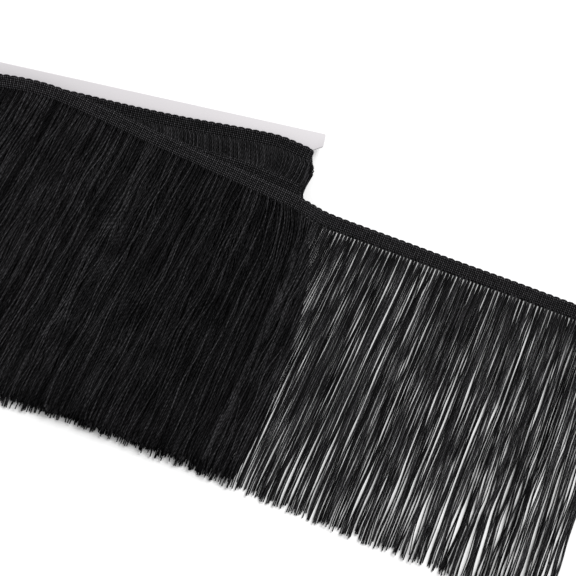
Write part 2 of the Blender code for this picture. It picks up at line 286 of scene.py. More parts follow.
def section_at(y):
    """The wound form's section nearest to a place down the trim."""
    first, last = SECTION_SAMPLES
    return SAMPLES[Section][min(max(round(y / SAMPLE_STEP), first), last)]


def edge_at(x):
    """The turns' upper edges nearest to a place along the card."""
    first, last = EDGE_SAMPLES
    return SAMPLES[Edge][min(max(round(x / SAMPLE_STEP), first), last)]


def ramp(value, start, full):
    """How far a value has come on its way from start to full, between 0 and 1."""
    return min(max((value - start) / (full - start), 0.0), 1.0)


def surface_height(form, x):
    """Height of the wound form's upper side: level in the middle, rounding down to its sides."""
    near = 1 - ramp(min(x - form.left, form.right - x), 0.0, form.round)
    return form.side + (form.top - form.side) * math.sqrt(1 - near**2)


HEADING_WIDTH = 0.010
HEADING_THICKNESS = 0.0018
PRESSED_THICKNESS = 0.0010
THINNEST = 0.0002
RIB_PITCH = 0.0025
RIB_COLUMNS = 6
STITCHES_PER_RIB = 2
STITCH_DEPTH = 0.0011
SECOND_STITCH_DROP = 0.4
STITCH_UNEVEN = 0.35
BEAD_ROWS = 7
BEAD_SAMPLES = 4
BEAD_VALLEY = 0.35
BEAD_HIGHLIGHT_NARROWING = 2.5
EDGE_HEIGHT = 0.45
EDGE_ROUNDING = 6
SCALLOP_RIBS = 2
SCALLOP_REACH = 0.0008
SCALLOP_FULLNESS = 0.6
SCALLOP_NOTCH = 0.3
SCALLOP_FADE = 5
BACK_ROWS = 4
BACK_NARROWING = 0.02
BACK_TONE = 0.3
FOLD_START = 0.110
FOLD_END = 0.118
FOLD_LEAN = 0.22
TINY = 1e-6
YARN_DARK = (0.0006, 0.0006, 0.0007, 1.0)
YARN_TINT = (1.0, 0.98, 1.04)
YARN_PLIES = 2.0
YARN_FIBRE_STRETCH = (2.3, 480.0, 1.0)
TUFT_TONE = 0.25
PLY_GROOVE_SHADE = 0.4
FIBRE_RELIEF = 0.5
YARN_ROUGHNESS = 0.42
LEAST_ROUGHNESS = 0.30
ROUGHNESS_SPREAD = 0.25
YARN_GLOSS = 0.010
YARN_SHEEN = 0.006


def smooth_route(stations, samples=24):
    """Close-set points along a smooth curve through the stations, each with its distance from the start."""
    points = [Vector(station) for station in stations]
    points = [2 * points[0] - points[1]] + points + [2 * points[-1] - points[-2]]
    route = []
    length = 0.0
    for a, b, c, d in zip(points, points[1:], points[2:], points[3:]):
        for n in range(samples):
            t = n / samples
            bend = (2 * a - 5 * b + 4 * c - d) * t**2 + (3 * b - a - 3 * c + d) * t**3
            place = b + ((c - a) * t + bend) / 2
            place.z = max(place.z, 0.0)
            if route:
                length += (place - route[-1][1]).length
            route.append((length, place))
    return route


def heading_frames(route, ribs):
    """Places at an even step along a route, each with its directions across and outward; where the band
    folds round the right end it leans, so that it stands out further at its lower edge."""
    frames = []
    at = 1
    for n in range(ribs * RIB_COLUMNS + 1):
        distance = min(n * (RIB_PITCH / RIB_COLUMNS), route[-1][0] - TINY)
        while route[at][0] < distance:
            at += 1
        (start, a), (end, b) = route[at - 1], route[at]
        forward = (b - a).normalized()
        place = a + (b - a) * ((distance - start) / (end - start))
        folded = ramp(place.x, FOLD_START, FOLD_END)
        upright = Vector((-FOLD_LEAN * folded * (place.y > 0), 1, 0))
        across = (upright - forward * forward.dot(upright)).normalized()
        frames.append((place, across, forward.cross(across)))
    return frames


def spun_yarn_group():
    """Two-ply twist, with painted shade in the grooves between the plies, and loose fibres on a yarn, from
    its own map: once round it, and metres along it.
    """
    group = bpy.data.node_groups.new("spun_yarn", "ShaderNodeTree")
    for name, kind, way in (
        ("Twists", "NodeSocketFloat", "INPUT"),
        ("Dark", "NodeSocketColor", "INPUT"),
        ("Light", "NodeSocketColor", "INPUT"),
        ("Colour", "NodeSocketColor", "OUTPUT"),
        ("Roughness", "NodeSocketFloat", "OUTPUT"),
        ("Height", "NodeSocketFloat", "OUTPUT"),
    ):
        group.interface.new_socket(name, in_out=way, socket_type=kind)
    given = add_node(group, "NodeGroupInput").outputs
    result = add_node(group, "NodeGroupOutput")
    lay = add_node(group, "ShaderNodeUVMap", {"uv_map": "yarn"}).outputs[0]
    split = add_node(group, "ShaderNodeSeparateXYZ", None, {0: lay}).outputs
    # The yarn's own random tone, together with the painted light and shade that the mesh carries in this
    # attribute
    dye = add_node(group, "ShaderNodeAttribute", {"attribute_name": "dye"}).outputs["Fac"]
    turned = arithmetic(group, "MULTIPLY", split["Y"], given["Twists"])
    phase = arithmetic(group, "ADD", arithmetic(group, "MULTIPLY", split["X"], YARN_PLIES), turned)
    wave = arithmetic(group, "SINE", arithmetic(group, "MULTIPLY", phase, math.tau))
    ply = arithmetic(group, "MULTIPLY_ADD", wave, 0.5, 0.5)
    fibres = soft_pattern(group, lay, detail=3.0, stretch=YARN_FIBRE_STRETCH)
    tufts = add_node(
        group, "ShaderNodeMapRange", None, {"Value": fibres, "From Min": 0.32, "From Max": 0.68}
    ).outputs["Result"]
    lightness = arithmetic(group, "MULTIPLY", dye, arithmetic(group, "ADD", tufts, TUFT_TONE))
    # Painted shade: the colour is darkened in the grooves between the plies
    shaded = arithmetic(group, "MULTIPLY", lightness, arithmetic(group, "ADD", ply, PLY_GROOVE_SHADE))
    rough = arithmetic(group, "MULTIPLY_ADD", fibres, ROUGHNESS_SPREAD, LEAST_ROUGHNESS)
    raised = arithmetic(group, "ADD", ply, arithmetic(group, "MULTIPLY", fibres, FIBRE_RELIEF))
    group.links.new(blend_colours(group, shaded, given["Dark"], given["Light"]), result.inputs["Colour"])
    group.links.new(rough, result.inputs["Roughness"])
    group.links.new(raised, result.inputs["Height"])
    return group


SPUN_YARN = spun_yarn_group()


def black_yarn(name, twists, depth, light):
    """Black yarn with a dry, slightly silky surface; light is how pale its most raised fibres are painted,
    and the copies of this one yarn differ in it as painted light.
    """
    material, tree, surface = new_material(name, YARN_ROUGHNESS)
    lightest = (*(light * part for part in YARN_TINT), 1.0)
    values = {"Twists": twists, "Dark": YARN_DARK, "Light": lightest}
    spun = add_node(tree, "ShaderNodeGroup", {"node_tree": SPUN_YARN}, values).outputs
    tree.links.new(spun["Colour"], surface.inputs["Base Color"])
    tree.links.new(spun["Roughness"], surface.inputs["Roughness"])
    raise_relief(tree, surface, spun["Height"], strength=0.5, distance=depth)
    surface.inputs["Specular IOR Level"].default_value = YARN_GLOSS
    surface.inputs["Sheen Weight"].default_value = YARN_SHEEN
    surface.inputs["Sheen Roughness"].default_value = 0.45
    surface.inputs["Sheen Tint"].default_value = (0.8, 0.8, 0.85, 1.0)
    return material


def heading_band(frames, thickness, bead_highlight):
    """The band as a closed strip: a grid wrapped round the route, its stitches raised in its points;
    bead_highlight is how pale the painted highlight on top of the beads is, with painted shade in the
    valleys between them."""
    top_rows = BEAD_ROWS * BEAD_SAMPLES
    rows = top_rows + BACK_ROWS
    last = len(frames) - 1
    half = HEADING_WIDTH / 2
    bm = bmesh.new()
    bmesh.ops.create_grid(bm, x_segments=last, y_segments=rows, size=1.0)
    lay = bm.loops.layers.uv.new("yarn")
    dye = bm.verts.layers.float.new("dye")
    for face in bm.faces:
        for loop in face.loops:
            column = (loop.vert.co.x + 1) / 2 * last
            row = (loop.vert.co.y + 1) / 2 * rows
            loop[lay].uv = (column / RIB_COLUMNS * 2, row / rows * HEADING_WIDTH * 2)
    for vert in bm.verts:
        column = round((vert.co.x + 1) / 2 * last)
        row = round((vert.co.y + 1) / 2 * rows) % rows
        place, across, outward = frames[column]
        rib = column / RIB_COLUMNS
        stitch = (column + 0.5) / RIB_COLUMNS * STITCHES_PER_RIB
        leg = abs(stitch % 1 - 0.5) * 2
        crest = math.sin(math.pi * stitch) ** 2
        bold = 1 - SECOND_STITCH_DROP * (int(stitch) % STITCHES_PER_RIB)
        if row <= top_rows:
            down = row / top_rows
            bead = 0.5 + 0.5 * math.cos(math.tau * (down * BEAD_ROWS + leg * 0.5))
            edge = min(1.0, EDGE_ROUNDING * down, EDGE_ROUNDING * (1 - down)) ** 0.5
            raised = bold * crest * (BEAD_VALLEY + (1 - BEAD_VALLEY) * bead)
            lift = thickness * (EDGE_HEIGHT + (1 - EDGE_HEIGHT) * edge) - STITCH_DEPTH * (1 - raised)
            scallop = abs(math.sin(math.pi * rib / SCALLOP_RIBS)) ** SCALLOP_FULLNESS
            reach = SCALLOP_REACH * (scallop - SCALLOP_NOTCH) * max(0.0, 1 - SCALLOP_FADE * down)
            vert.co = place + across * (half - HEADING_WIDTH * down + reach) + outward * max(lift, THINNEST)
            varied = 1 + STITCH_UNEVEN * noise.cell(Vector((stitch, down * BEAD_ROWS, 0.5)))
            # Painted highlight on the crests of the beads and painted shade in the valleys between them, on
            # a random tone per stitch
            vert[dye] = bead_highlight * bold * varied * crest**2 * bead**BEAD_HIGHLIGHT_NARROWING
        else:
            back = (row - top_rows) / BACK_ROWS
            bow = math.sin(math.pi * back)
            vert.co = place + across * (HEADING_WIDTH * back - half) * (1 - BACK_NARROWING * bow)
            vert.co += outward * (EDGE_HEIGHT * thickness * (1 - bow))
            vert[dye] = BACK_TONE
    bmesh.ops.remove_doubles(bm, verts=bm.verts, dist=TINY)
    bmesh.ops.holes_fill(bm, edges=[e for e in bm.edges if e.is_boundary], sides=0)
    bmesh.ops.recalc_face_normals(bm, faces=bm.faces)
    return bm


# Painted light: the heading's copy of the yarn is painted paler, for the light its raised stitches catch
HEADING_YARN = black_yarn("heading_yarn", twists=900.0, depth=0.0002, light=0.137)
WRAP_ROUND = 0.004
WRAP_DIP = 0.003
WRAP_STATIONS = 5
FRONT_STATIONS = 12
BACK_STATIONS = 5
FIRST_TURN_DROP = 0.0012
# The turns from the inmost out: where each one starts, how far it reaches left and right, how deep its
# heading lies in the wound form, and how high above the table it runs along the underside
Turn = namedtuple("Turn", "name start left right depth back")
TURNS = (
    Turn(name="first", start=-0.100, left=-0.1140, right=0.1150, depth=0.0027, back=0.0048),
    Turn(name="level", start=-0.119, left=-0.1170, right=0.1188, depth=0.0009, back=0.0038),
    Turn(name="slant", start=-0.119, left=-0.1172, right=0.1168, depth=0.0000, back=0.0024),
)
# Where the last turn reaches the left fold along the underside, to go on as the loose end
LAST_TURN_END = (-0.124, 0.0176)


def front_y(name, x):
    """Middle of a turn's heading along the card's front."""
    edge = edge_at(x)
    upper = edge.slant if name == "slant" else edge.level
    return upper - HEADING_WIDTH / 2 - (FIRST_TURN_DROP if name == "first" else 0.0)


def front_z(turn, x):
    """Underside of a turn's heading along the card's front."""
    return surface_height(section_at(front_y(turn.name, x)), x) - turn.depth


def end_stations(x, y, dip, heights, side):
    """The way round an end of the card, from one height to another; side is 1 right and -1 left."""
    start, end = heights
    points = []
    for n in range(1, WRAP_STATIONS):
        angle = math.pi * n / WRAP_STATIONS
        z = (start + end) / 2 + (start - end) / 2 * math.cos(angle)
        points.append(Vector((x + side * WRAP_ROUND * math.sin(angle), y - dip * n / WRAP_STATIONS, z)))
    return points


def turn_stations(turn, following):
    """One turn: along the front, round the right end, back under the card and up to the next turn."""
    start = max(turn.start, turn.left + WRAP_ROUND)
    end = turn.right - WRAP_ROUND
    points = []
    for n in range(FRONT_STATIONS + 1):
        x = start + (end - start) * n / FRONT_STATIONS
        points.append(Vector((x, front_y(turn.name, x), front_z(turn, x))))
    y, top = points[-1].y, points[-1].z
    points += end_stations(end, y, WRAP_DIP, (top, turn.back), side=1)
    y -= WRAP_DIP
    if following is None:
        next_start, next_y = LAST_TURN_END
    else:
        next_start = following.left + WRAP_ROUND
        next_y = front_y(following.name, next_start)
    for n in range(BACK_STATIONS + 1):
        t = n / BACK_STATIONS
        points.append(Vector((end + (next_start - end) * t, y + (next_y - y) * t, turn.back)))
    if following is not None:
        points += end_stations(
            next_start, next_y, 0.0, (turn.back, front_z(following, next_start)), side=-1
        )
    return points


wound_frames = {}
for turn, following in zip(TURNS, (*TURNS[1:], None)):
    wound_route = smooth_route(turn_stations(turn, following), samples=12)
    frames = heading_frames(wound_route, int(wound_route[-1][0] / RIB_PITCH))
    thickness = PRESSED_THICKNESS if turn.name == "first" else HEADING_THICKNESS
    # Painted light: the wound turns' pressed stitches get a dimmer painted highlight than the loose end's
    band = heading_band(frames, thickness, bead_highlight=1.2)
    wound_frames[turn.name] = frames
    finish_piece(
        turn.name + "_heading", band, HEADING_YARN, "wound_trim"
    )


# ----------------------------------------------------------------------------------------------------
# Wound fringe. Cut yarns, several to each rib, that hang from every turn's heading down to the lower
# edge; each turn's layer lies on the one before, and at the card's ends they go round with the heading.

YARN_RADIUS = 0.00041
YARN_SIDES = 5
YARN_PHASE = 0.00137
ROOT_INSET = 0.001
WOUND_ROOT_RISE = 0.0003
CUT_END_Y = -0.1890
CUT_END_SLOPE = -0.126
CUT_SHORT = -0.0002
CUT_RAGGED = 0.0040
LOCK_RAGGED = 0.0042
TIP_SPLAY = 0.0013
TIP_CURL = 5
SIDES_HELD = 8
FOLD_HELD = 14
FOLD_PULL = 0.013
FOLD_EASE = 0.024
PULL_START = 0.088
PULL_FULL = 0.108
HELD_LENGTH = 0.006
ROOT_SIDE_HEIGHT = 0.006
WOUND_CLOSER = 1.7
WOUND_WANDER_RATE = 4.0
WANDER_GROWTH = 4
WANDER_APART = (3.17, 0.71)
CLUMP_LOFT = 0.0012
CLUMP_GROWTH = 6
YARN_LIFT = 0.0002
WOUND_STACK = 0.0004
# Painted sheen: broad patches of the fringe are painted paler or darker, as bundles catch the light
SHEEN_PATCH_BASE = 0.85
SHEEN_PATCHES = 0.55
SHEEN_PATCH_RATE = 75.0
# Painted shade: each yarn is painted darker near its root, under the heading's lower edge; further on,
# END_TONE makes it darker toward its cut end
ROOT_PAINTED_SHADE = 0.8
ROOT_SHADE_LENGTH = 0.004
END_TONE = 0.75
END_LENGTH = 0.11
DARKEST_WOUND = 0.35
# Painted light: the middle yarns of each rib's bundle, lying on top, are painted paler than those at its
# sides
BUNDLE_PAINTED_LIGHT = (0.55, 1.0, 0.8, 0.5)
# Each turn's layer: the yarns to a rib and the steps in a yarn, how deep it lies, how far and how soon it
# leans, how evenly its yarns are spread, how pale they are painted as painted light (the inmost in
# painted shade), and how far they wander
Layer = namedtuple("Layer", "yarns steps sink lean ease spread shade wander")
LAYERS = {
    "first": Layer(
        yarns=4, steps=8, sink=0.0013, lean=0.0, ease=0.030, spread=1.0, shade=0.2, wander=0.0
    ),
    "level": Layer(
        yarns=4, steps=11, sink=0.0003, lean=0.0050, ease=0.028, spread=0.9, shade=1.25, wander=0.0030
    ),
    "slant": Layer(
        yarns=4, steps=14, sink=-0.0006, lean=-0.0090, ease=0.040, spread=0.9, shade=1.1, wander=0.0030
    ),
}
# Random patterns of the fringe: how fast each changes across and down it, and its number; in those of the
# wound fringe, every layer's depth takes it to a place of its own
Pattern = namedtuple("Pattern", "across down number")
LAYER_SHIFT = 9000
LOCKS = Pattern(across=110.0, down=LAYER_SHIFT, number=3.0)
CLUMPS = Pattern(across=130, down=22, number=0.0)


def draw_yarns(paths, tones):
    """Yarns as closed tubes in one mesh: a ring at each root, drawn along its path a step at a time."""
    bm = bmesh.new()
    yarn_of = bm.verts.layers.int.new("yarn_number")
    corner_of = bm.verts.layers.int.new("corner")
    step_of = bm.verts.layers.int.new("step")
    dye = bm.verts.layers.float.new("dye")
    lay = bm.loops.layers.uv.new("yarn")
    rings = []
    lengths = []
    for points in paths:
        yarn_rings = []
        run = [0.0]
        for n, point in enumerate(points):
            ahead = points[min(n + 1, len(points) - 1)] - points[max(n - 1, 0)]
            side = ahead.cross(Vector((0, 0, 1))).normalized()
            above = side.cross(ahead).normalized()
            yarn_rings.append((point, side, above))
            if n:
                run.append(run[-1] + (point - points[n - 1]).length)
        rings.append(yarn_rings)
        lengths.append(run)

    def set_ring(verts, step):
        for vert in verts:
            point, side, above = rings[vert[yarn_of]][step]
            angle = math.tau * vert[corner_of] / YARN_SIDES
            vert.co = point + (side * math.cos(angle) + above * math.sin(angle)) * YARN_RADIUS
            vert[step_of] = step
            run = lengths[vert[yarn_of]]
            # Painted shade near the root, and darker toward the cut end
            root_shade = ROOT_PAINTED_SHADE + run[step] / ROOT_SHADE_LENGTH
            near_end = END_TONE + (run[-1] - run[step]) / END_LENGTH
            # Painted sheen in broad patches along the fringe
            sheen_patch = SHEEN_PATCH_BASE + SHEEN_PATCHES * noise.noise(point * SHEEN_PATCH_RATE)
            vert[dye] = tones[vert[yarn_of]] * min(root_shade, near_end, 1) * sheen_patch

    for number in range(len(paths)):
        ring = bmesh.ops.create_circle(bm, segments=YARN_SIDES, radius=YARN_RADIUS)["verts"]
        for corner, vert in enumerate(ring):
            vert[yarn_of] = number
            vert[corner_of] = corner
    set_ring(bm.verts, 0)
    edges = list(bm.edges)
    for step in range(1, len(paths[0])):
        grown = bmesh.ops.extrude_edge_only(bm, edges=edges)["geom"]
        set_ring([item for item in grown if isinstance(item, bmesh.types.BMVert)], step)
        edges = [item for item in grown if isinstance(item, bmesh.types.BMEdge) and item.is_boundary]
    for face in bm.faces:
        seam = {loop.vert[corner_of] for loop in face.loops} == {0, YARN_SIDES - 1}
        for loop in face.loops:
            corner = loop.vert[corner_of]
            around = YARN_SIDES if seam and corner == 0 else corner
            number = loop.vert[yarn_of]
            along = lengths[number][loop.vert[step_of]] + number * YARN_PHASE
            loop[lay].uv = (around / YARN_SIDES + number, along)
    bmesh.ops.holes_fill(bm, edges=[e for e in bm.edges if e.is_boundary], sides=0)
    bmesh.ops.recalc_face_normals(bm, faces=bm.faces)
    return bm


def yarn_root(place, across, outward, rise):
    """Where a yarn leaves the heading: just above its lower edge, and raised a little off the route."""
    return place - across * (HEADING_WIDTH / 2 - ROOT_INSET) + outward * (YARN_RADIUS + rise)


def cut_end_y(x):
    """Where the wound fringe is cut off."""
    return CUT_END_Y + CUT_END_SLOPE * x


def uneven(pattern, across, down, shift=0.0):
    """A smooth random value between -1 and 1 at a place of a pattern, the same on every run."""
    place = (across * pattern.across, down * pattern.down, pattern.number + shift)
    return noise.noise(Vector(place))


def wander(number, t, size, rate):
    """A slow sideways drift of one yarn, the same on every run."""
    across, apart = WANDER_APART
    return size * noise.noise(Vector((number * across, t * rate, number * apart)))


def wound_path(layer, turn, root, outward, number, rng):
    """One yarn of the wound turns, from its rib down to the cut ends, kept in its own layer."""
    share = ramp(root.x, turn.left, turn.right)
    middle = 1 - abs(2 * share - 1) ** SIDES_HELD
    inner = 1 - max(2 * share - 1, 0.0) ** FOLD_HELD
    pull = FOLD_PULL * ramp(root.x, PULL_START, PULL_FULL) * inner
    last_form = section_at(cut_end_y(root.x))
    last_x = last_form.left + (last_form.right - last_form.left) * share + layer.lean * middle
    end = cut_end_y(last_x) + CUT_SHORT + rng.uniform(0.0, CUT_RAGGED)
    end += LOCK_RAGGED * uneven(LOCKS, last_x, layer.sink)
    lift = rng.uniform(-YARN_LIFT, YARN_LIFT)
    splay = rng.uniform(-TIP_SPLAY, TIP_SPLAY)
    points = []
    for n in range(layer.steps + 1):
        t = (n / layer.steps) ** WOUND_CLOSER
        y = root.y + (end - root.y) * t
        drop = root.y - y
        form = section_at(y)
        x = form.left + YARN_RADIUS + (form.right - form.left - 2 * YARN_RADIUS) * share
        leaned = layer.lean * (1 - math.exp(-drop / layer.ease))
        drift = wander(number, t, layer.wander * min(t * WANDER_GROWTH, 1), WOUND_WANDER_RATE)
        x += (leaned + drift) * middle
        x += splay * t**TIP_CURL * middle - pull * (1 - math.exp(-drop / FOLD_EASE))
        if outward.z >= 0:
            clump = CLUMP_LOFT * uneven(CLUMPS, x, y, layer.sink * LAYER_SHIFT)
            z = surface_height(form, x) - layer.sink - YARN_RADIUS + lift
            z += clump * middle * min(t * CLUMP_GROWTH, 1)
            z += WOUND_STACK * (number % 2)
        else:
            z = root.z * form.side / ROOT_SIDE_HEIGHT + lift
        held = max(1 - drop / HELD_LENGTH, 0.0)
        points.append(Vector((x, y, max(z, YARN_RADIUS))).lerp(root, held))
    return points


# Painted shade: the wound turns' copy of the yarn is painted darker than the loose end's
WOUND_YARN = black_yarn("wound_yarn", twists=300.0, depth=0.00015, light=0.041)
for turn in TURNS:
    layer, frames = LAYERS[turn.name], wound_frames[turn.name]
    rng = random.Random(turn.name)
    paths = []
    tones = []
    for n in range(len(frames) // RIB_COLUMNS * layer.yarns):
        rib, yarn = divmod(n, layer.yarns)
        # Painted light of the layer and of the yarn's place in its bundle, on a random tone per yarn
        tones.append(layer.shade * BUNDLE_PAINTED_LIGHT[yarn] * rng.uniform(DARKEST_WOUND, 1.0))
        across_rib = ((yarn + 0.5) / layer.yarns - 0.5) * layer.spread
        place, across, outward = frames[round((rib + 0.5 + across_rib) * RIB_COLUMNS)]
        root = yarn_root(place, across, outward, WOUND_ROOT_RISE)
        paths.append(wound_path(layer, turn, root, outward, n, rng))
    fringe = finish_piece(
        turn.name + "_fringe", draw_yarns(paths, tones), WOUND_YARN, "wound_trim"
    )


# ----------------------------------------------------------------------------------------------------
# Loose end's heading. The last half turn comes up round the left end, runs slanting over the turns and
# off the right end, and lies on the table from there: the same crocheted band, right side up.

Station = namedtuple("Station", "x y z")
ROUTE = (
    Station(x=-0.1198, y=0.0176, z=0.0016),
    Station(x=-0.1206, y=0.0178, z=0.0045),
    Station(x=-0.1207, y=0.0181, z=0.0076),
    Station(x=-0.1188, y=0.0188, z=0.0105),
    Station(x=-0.1125, y=0.0209, z=0.0116),
    Station(x=-0.0920, y=0.0246, z=0.0116),
    Station(x=-0.0620, y=0.0245, z=0.0116),
    Station(x=-0.0280, y=0.0183, z=0.0117),
    Station(x=0.0180, y=0.0076, z=0.0117),
    Station(x=0.0700, y=-0.0034, z=0.0117),
    Station(x=0.1080, y=-0.0116, z=0.0116),
    Station(x=0.1220, y=-0.0148, z=0.0100),
    Station(x=0.1290, y=-0.0160, z=0.0056),
    Station(x=0.1360, y=-0.0172, z=0.0016),
    Station(x=0.1460, y=-0.0187, z=0.0001),
    Station(x=0.1580, y=-0.0204, z=0.0),
    Station(x=0.1890, y=-0.0246, z=0.0),
    Station(x=0.2270, y=-0.0299, z=0.0),
    Station(x=0.2650, y=-0.0348, z=0.0),
    Station(x=0.3050, y=-0.0404, z=0.0),
    Station(x=0.3450, y=-0.0462, z=0.0),
    Station(x=0.3850, y=-0.0520, z=0.0),
)
LOOSE_RIBS = 197

loose_frames = heading_frames(smooth_route(ROUTE), LOOSE_RIBS)
loose_band = heading_band(loose_frames, HEADING_THICKNESS, bead_highlight=1.7)
loose_heading = finish_piece("loose_heading", loose_band, HEADING_YARN, "loose_end")


# ----------------------------------------------------------------------------------------------------
# Loose end's fringe. Four cut yarns leave each rib together, and part below it; over the turns they are
# drawn taut and matted, and on the table they lie loosely side by side with slits between them.

YARNS_PER_RIB = 4
LOOSE_SEED = 2588
LOOSE_STEPS = 30
LOOSE_CLOSER = 1.25
SUPPORT_SAMPLES = 50
LOOSE_ROOT_RISE = 0.0001
STACK_RISE = 0.00065
CLEARANCE = 0.0003
BAND_RAISE = 0.0009
LAYER_RAISE = 0.0009
CARD_RUN = 0.292
RAGGED = 0.0031
HOOK_LENGTH = 0.028
PARTING_START = 0.0006
PARTING_FULL = 0.0040
DRIFT_START = 0.003
DRIFT_FULL = 0.020
CLUMP_DRIFT = 0.0018
RIB_DRIFT = 0.0009
YARN_DRIFT = 0.0009
LOOSE_WANDER_RATE = 6.0
MATTED = 4.3
MATTED_EASE = 0.007
TIP_LENGTH = 0.020
TIP_STRAIGHTENED = 0.6
TABLE_LIFT = 0.0004
MEAN_LIFT = 0.3
CLUMP_LIFT = 0.0010
LIFT_GROWTH = 12
CLUMP_SWAY = Pattern(across=0.17, down=1.3, number=2.5)
RIB_SWAY = Pattern(across=0.61, down=2.6, number=7.5)
YARN_LIFTS = Pattern(across=1.7, down=5.0, number=4.0)
CLUMP_LIFTS = Pattern(across=0.23, down=2.5, number=9.0)
DARKEST_LOOSE = 0.14
MOSTLY_DARK = 1.6
# Painted shade: the lower yarn of each stacked pair is painted darker
LOWER_YARN_PAINTED_SHADE = 0.5

FRINGE_LENGTH = 0.19
SLITS_PER_RIB = 5
SLIT_WIDTH = 0.0011
SLIT_MOSTLY_THIN = 1.6
SLIT_LENGTHS = (0.018, 0.080)
SLIT_SHORT = 0.3
SLIT_NARROW = 0.4
SLIT_STARTS = (0.004, 0.018)
SLIT_PLACING = 0.9
SLIT_TAPER = 1.4
SLIT_REACH = 4.0
SLIT_WINDOW = 12
SLIT_GROUPS = Pattern(across=0.035, down=12, number=2.4)
SLIT_GROUPING = 1.3
LEAST_GROUPED = 0.1
RIB_SLIT_SHARE = 0.5
RIB_SLIT_WIDTH = 0.0006
RIB_SLIT_UNEVEN = (0.5, 1.5)
RIB_SLIT_LENGTHS = (0.008, 0.032)
RIB_SLIT_OPEN = 0.25

# How the fringe hangs: the lean toward -X from straight down, at the root and further on, the length,
# and how much more loosely than at the band it lies at its cut ends
Hang = namedtuple("Hang", "x root lean length open")
HANGS = (
    Hang(x=-0.125, root=19.0, lean=19.0, length=0.1970, open=1),
    Hang(x=-0.060, root=17.0, lean=17.0, length=0.2038, open=1),
    Hang(x=0.000, root=15.9, lean=15.9, length=0.2018, open=1),
    Hang(x=0.040, root=15.0, lean=15.0, length=0.1929, open=1),
    Hang(x=0.080, root=12.0, lean=13.8, length=0.1896, open=1),
    Hang(x=0.100, root=0.0, lean=13.2, length=0.1888, open=0.8),
    Hang(x=0.110, root=-13.0, lean=12.9, length=0.1884, open=0.6),
    Hang(x=0.121, root=-10.0, lean=12.7, length=0.1873, open=0.45),
    Hang(x=0.133, root=9.0, lean=12.4, length=0.1869, open=0.45),
    Hang(x=0.150, root=12.0, lean=12.2, length=0.1877, open=0.5),
    Hang(x=0.200, root=11.0, lean=11.0, length=0.1893, open=0.85),
    Hang(x=0.280, root=7.5, lean=7.5, length=0.192, open=1.7),
    Hang(x=0.350, root=4.5, lean=4.5, length=0.194, open=2.3),
)


def turns_height(x, y):
    """Height of everything that is wound on the card, or 0 off the turns."""
    form, edge = section_at(y), edge_at(x)
    if not form.left <= x <= form.right or not cut_end_y(x) <= y <= edge.level:
        return 0.0
    height = surface_height(form, x)
    if y >= edge.level - HEADING_WIDTH:
        height += BAND_RAISE
    if y <= edge.slant:
        height += LAYER_RAISE
        if y >= edge.slant - HEADING_WIDTH:
            height += BAND_RAISE
    return height


def taut_heights(needs, knots):
    """Heights at the knots of a thread drawn over evenly spaced supports of the heights it needs."""
    last = len(needs) - 1
    hull = []
    for at, need in enumerate(needs):
        while len(hull) > 1:
            (a, low), (b, high) = hull[-2:]
            if (need - low) * (b - a) < (high - low) * (at - a):
                break
            hull.pop()
        hull.append((at, need))
    heights = []
    for knot in knots:
        at = knot * last
        (a, low), (b, high) = next(span for span in zip(hull, hull[1:]) if at <= span[1][0] + TINY)
        heights.append(low + (high - low) * (at - a) / (b - a))
    return heights


Slit = namedtuple("Slit", "yarn start length width")


def make_slits(ribs, rng):
    """Slits between the yarns of so many ribs, kept by the yarn each one lies beside: some open right at
    the band, between two ribs, and the others anywhere further down."""
    slits = {}
    for rib in range(ribs):
        if rng.random() < RIB_SLIT_SHARE:
            length = rng.uniform(*RIB_SLIT_LENGTHS)
            width = RIB_SLIT_WIDTH * rng.uniform(*RIB_SLIT_UNEVEN)
            beside = rib * YARNS_PER_RIB
            slits[beside] = [Slit(beside, -RIB_SLIT_OPEN * length, length, width)]
    for _ in range(ribs * SLITS_PER_RIB):
        beside = rng.randrange(ribs * YARNS_PER_RIB)
        middle = rng.random() ** SLIT_PLACING
        full = SLIT_SHORT + (1 - SLIT_SHORT) * middle
        length = rng.uniform(*SLIT_LENGTHS) * full
        start = max(FRINGE_LENGTH * middle - length / 2, rng.uniform(*SLIT_STARTS))
        grouped = max(1 + SLIT_GROUPING * uneven(SLIT_GROUPS, beside, start), LEAST_GROUPED)
        width = SLIT_WIDTH * rng.random() ** SLIT_MOSTLY_THIN * grouped
        width *= SLIT_NARROW + (1 - SLIT_NARROW) * full
        others = slits.setdefault(beside, [])
        if all(start > other.start + other.length or other.start > start + length for other in others):
            others.append(Slit(beside, start, length, width))
    return slits


def slit_shift(near, number, run):
    """How far the slits near a yarn push it aside, at a distance from its rib."""
    shift = 0.0
    for slit in near:
        opened = (run - slit.start) / slit.length
        if 0 < opened < 1:
            apart = number + 0.5 - slit.yarn
            half_open = slit.width / 2 * math.sin(math.pi * opened**SLIT_TAPER)
            shift += math.copysign(half_open, apart) * math.exp(-abs(apart) / SLIT_REACH)
    return shift


